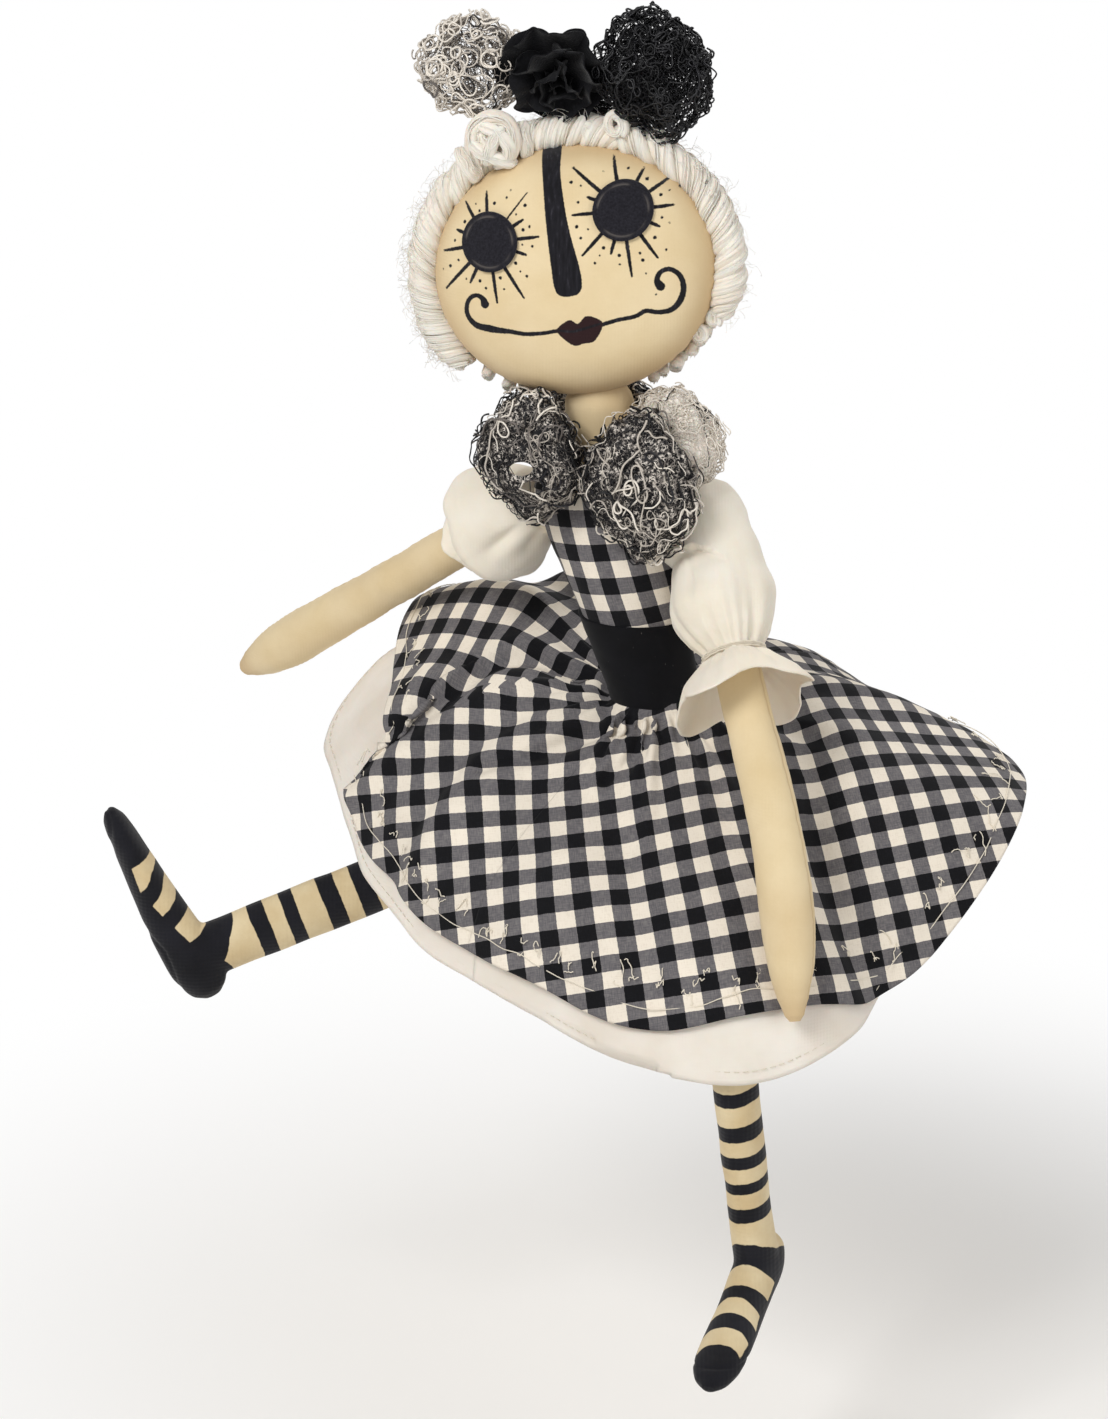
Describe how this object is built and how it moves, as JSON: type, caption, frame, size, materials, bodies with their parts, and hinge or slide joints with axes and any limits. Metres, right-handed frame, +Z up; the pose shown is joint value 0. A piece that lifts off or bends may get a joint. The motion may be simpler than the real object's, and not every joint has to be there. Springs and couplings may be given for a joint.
{
  "type": "art doll",
  "caption": "Stuffed cloth art doll seated with one leg stretched out: painted face, wool hair, lace ornaments, gingham dress over a petticoat, puff sleeves, striped legs.",
  "frame": {"origin": "middle of the flat under the seated body, where it rests", "axes": "+Z up, -Y towards the viewer of the picture, +X to the viewer's right; the body is turned 22 degrees to its own right"},
  "size_m": [0.3492, 0.2986, 0.4708],
  "materials": {
    "muslin": "tea-stained muslin, matte",
    "gingham": "woven quarter-inch gingham, black and cream",
    "black_cotton": "plain black cotton, matte",
    "white_cotton": "off-white cotton, matte",
    "silver_lace": "black lace worked with silvery yarn",
    "white_lace": "ivory cotton lace",
    "black_lace": "black lace, crepe and tulle",
    "felt": "black wool felt with painted rim",
    "wool": "ivory wool roving",
    "striped_cotton": "cream cotton with sewn and painted black bands"
  },
  "bodies": {
    "body": {"torso": "muslin", "bodice": "gingham", "waistband": "black_cotton", "collar_lobe_left": "silver_lace", "collar_lobe_right": "silver_lace", "collar_white_lace": "white_lace", "collar_back_lace": "black_lace", "skirt_left_panel": "gingham", "skirt_right_panel": "gingham", "petticoat_left_panel": "white_cotton", "petticoat_right_panel": "white_cotton"},
    "head": {"head": "muslin", "eye_disc_left": "felt", "eye_disc_right": "felt", "hair_roll": "wool", "hair_cap": "wool", "hair_topknot": "wool", "crepe_flower": "black_lace", "lace_puff_white": "white_lace", "lace_puff_black": "black_lace", "tulle_bow": "black_lace"},
    "arm_left": {"arm_left": "muslin", "sleeve_left": "white_cotton", "sleeve_tie_left": "white_cotton"},
    "arm_right": {"arm_right": "muslin", "sleeve_right": "white_cotton", "sleeve_tie_right": "white_cotton"},
    "thigh_left": {"thigh_left": "striped_cotton"},
    "shin_left": {"shin_left": "striped_cotton"},
    "thigh_right": {"thigh_right": "striped_cotton"},
    "shin_right": {"shin_right": "striped_cotton"}
  },
  "joints": [
    {"name": "neck_tilt", "type": "hinge", "parent": "body", "child": "head", "pos_m": [-0.054, -0.0025, 0.213], "axis": [-0.1727, -0.9794, 0.1045], "range_deg": [-8, 8]},
    {"name": "shoulder_left", "type": "hinge", "parent": "body", "child": "arm_left", "pos_m": [-0.0156, -0.008, 0.1725], "axis": [-0.9272, 0.3746, 0], "range_deg": [0, 60], "deforming": ["sleeve_left", "collar_lobe_left"]},
    {"name": "shoulder_right", "type": "hinge", "parent": "body", "child": "arm_right", "pos_m": [-0.082, 0.013, 0.1695], "axis": [0.7193, 0.6947, 0], "range_deg": [0, 60], "deforming": ["sleeve_right"]},
    {"name": "hip_left", "type": "hinge", "parent": "body", "child": "thigh_left", "pos_m": [0.01314, -0.02659, 0.01956], "axis": [0.9272, -0.3746, 0], "range_deg": [-20, 70], "deforming": ["skirt_left_panel", "petticoat_left_panel", "petticoat_right_panel", "skirt_right_panel"]},
    {"name": "knee_left", "type": "hinge", "parent": "thigh_left", "child": "shin_left", "pos_m": [-0.00794, -0.10109, 0.01006], "axis": [0.9272, -0.3746, 0], "range_deg": [-80, 10], "deforming": ["skirt_left_panel", "petticoat_left_panel"]},
    {"name": "hip_right", "type": "hinge", "parent": "body", "child": "thigh_right", "pos_m": [-0.03839, 0.00611, 0.02409], "axis": [0.0698, -0.9976, 0], "range_deg": [-25, 60], "deforming": ["skirt_right_panel", "petticoat_right_panel"]},
    {"name": "knee_right", "type": "hinge", "parent": "thigh_right", "child": "shin_right", "pos_m": [-0.11577, 0.00069, 0.03224], "axis": [0.0698, -0.9976, 0], "range_deg": [-15, 60], "deforming": ["skirt_right_panel", "petticoat_right_panel"]}
  ]
}
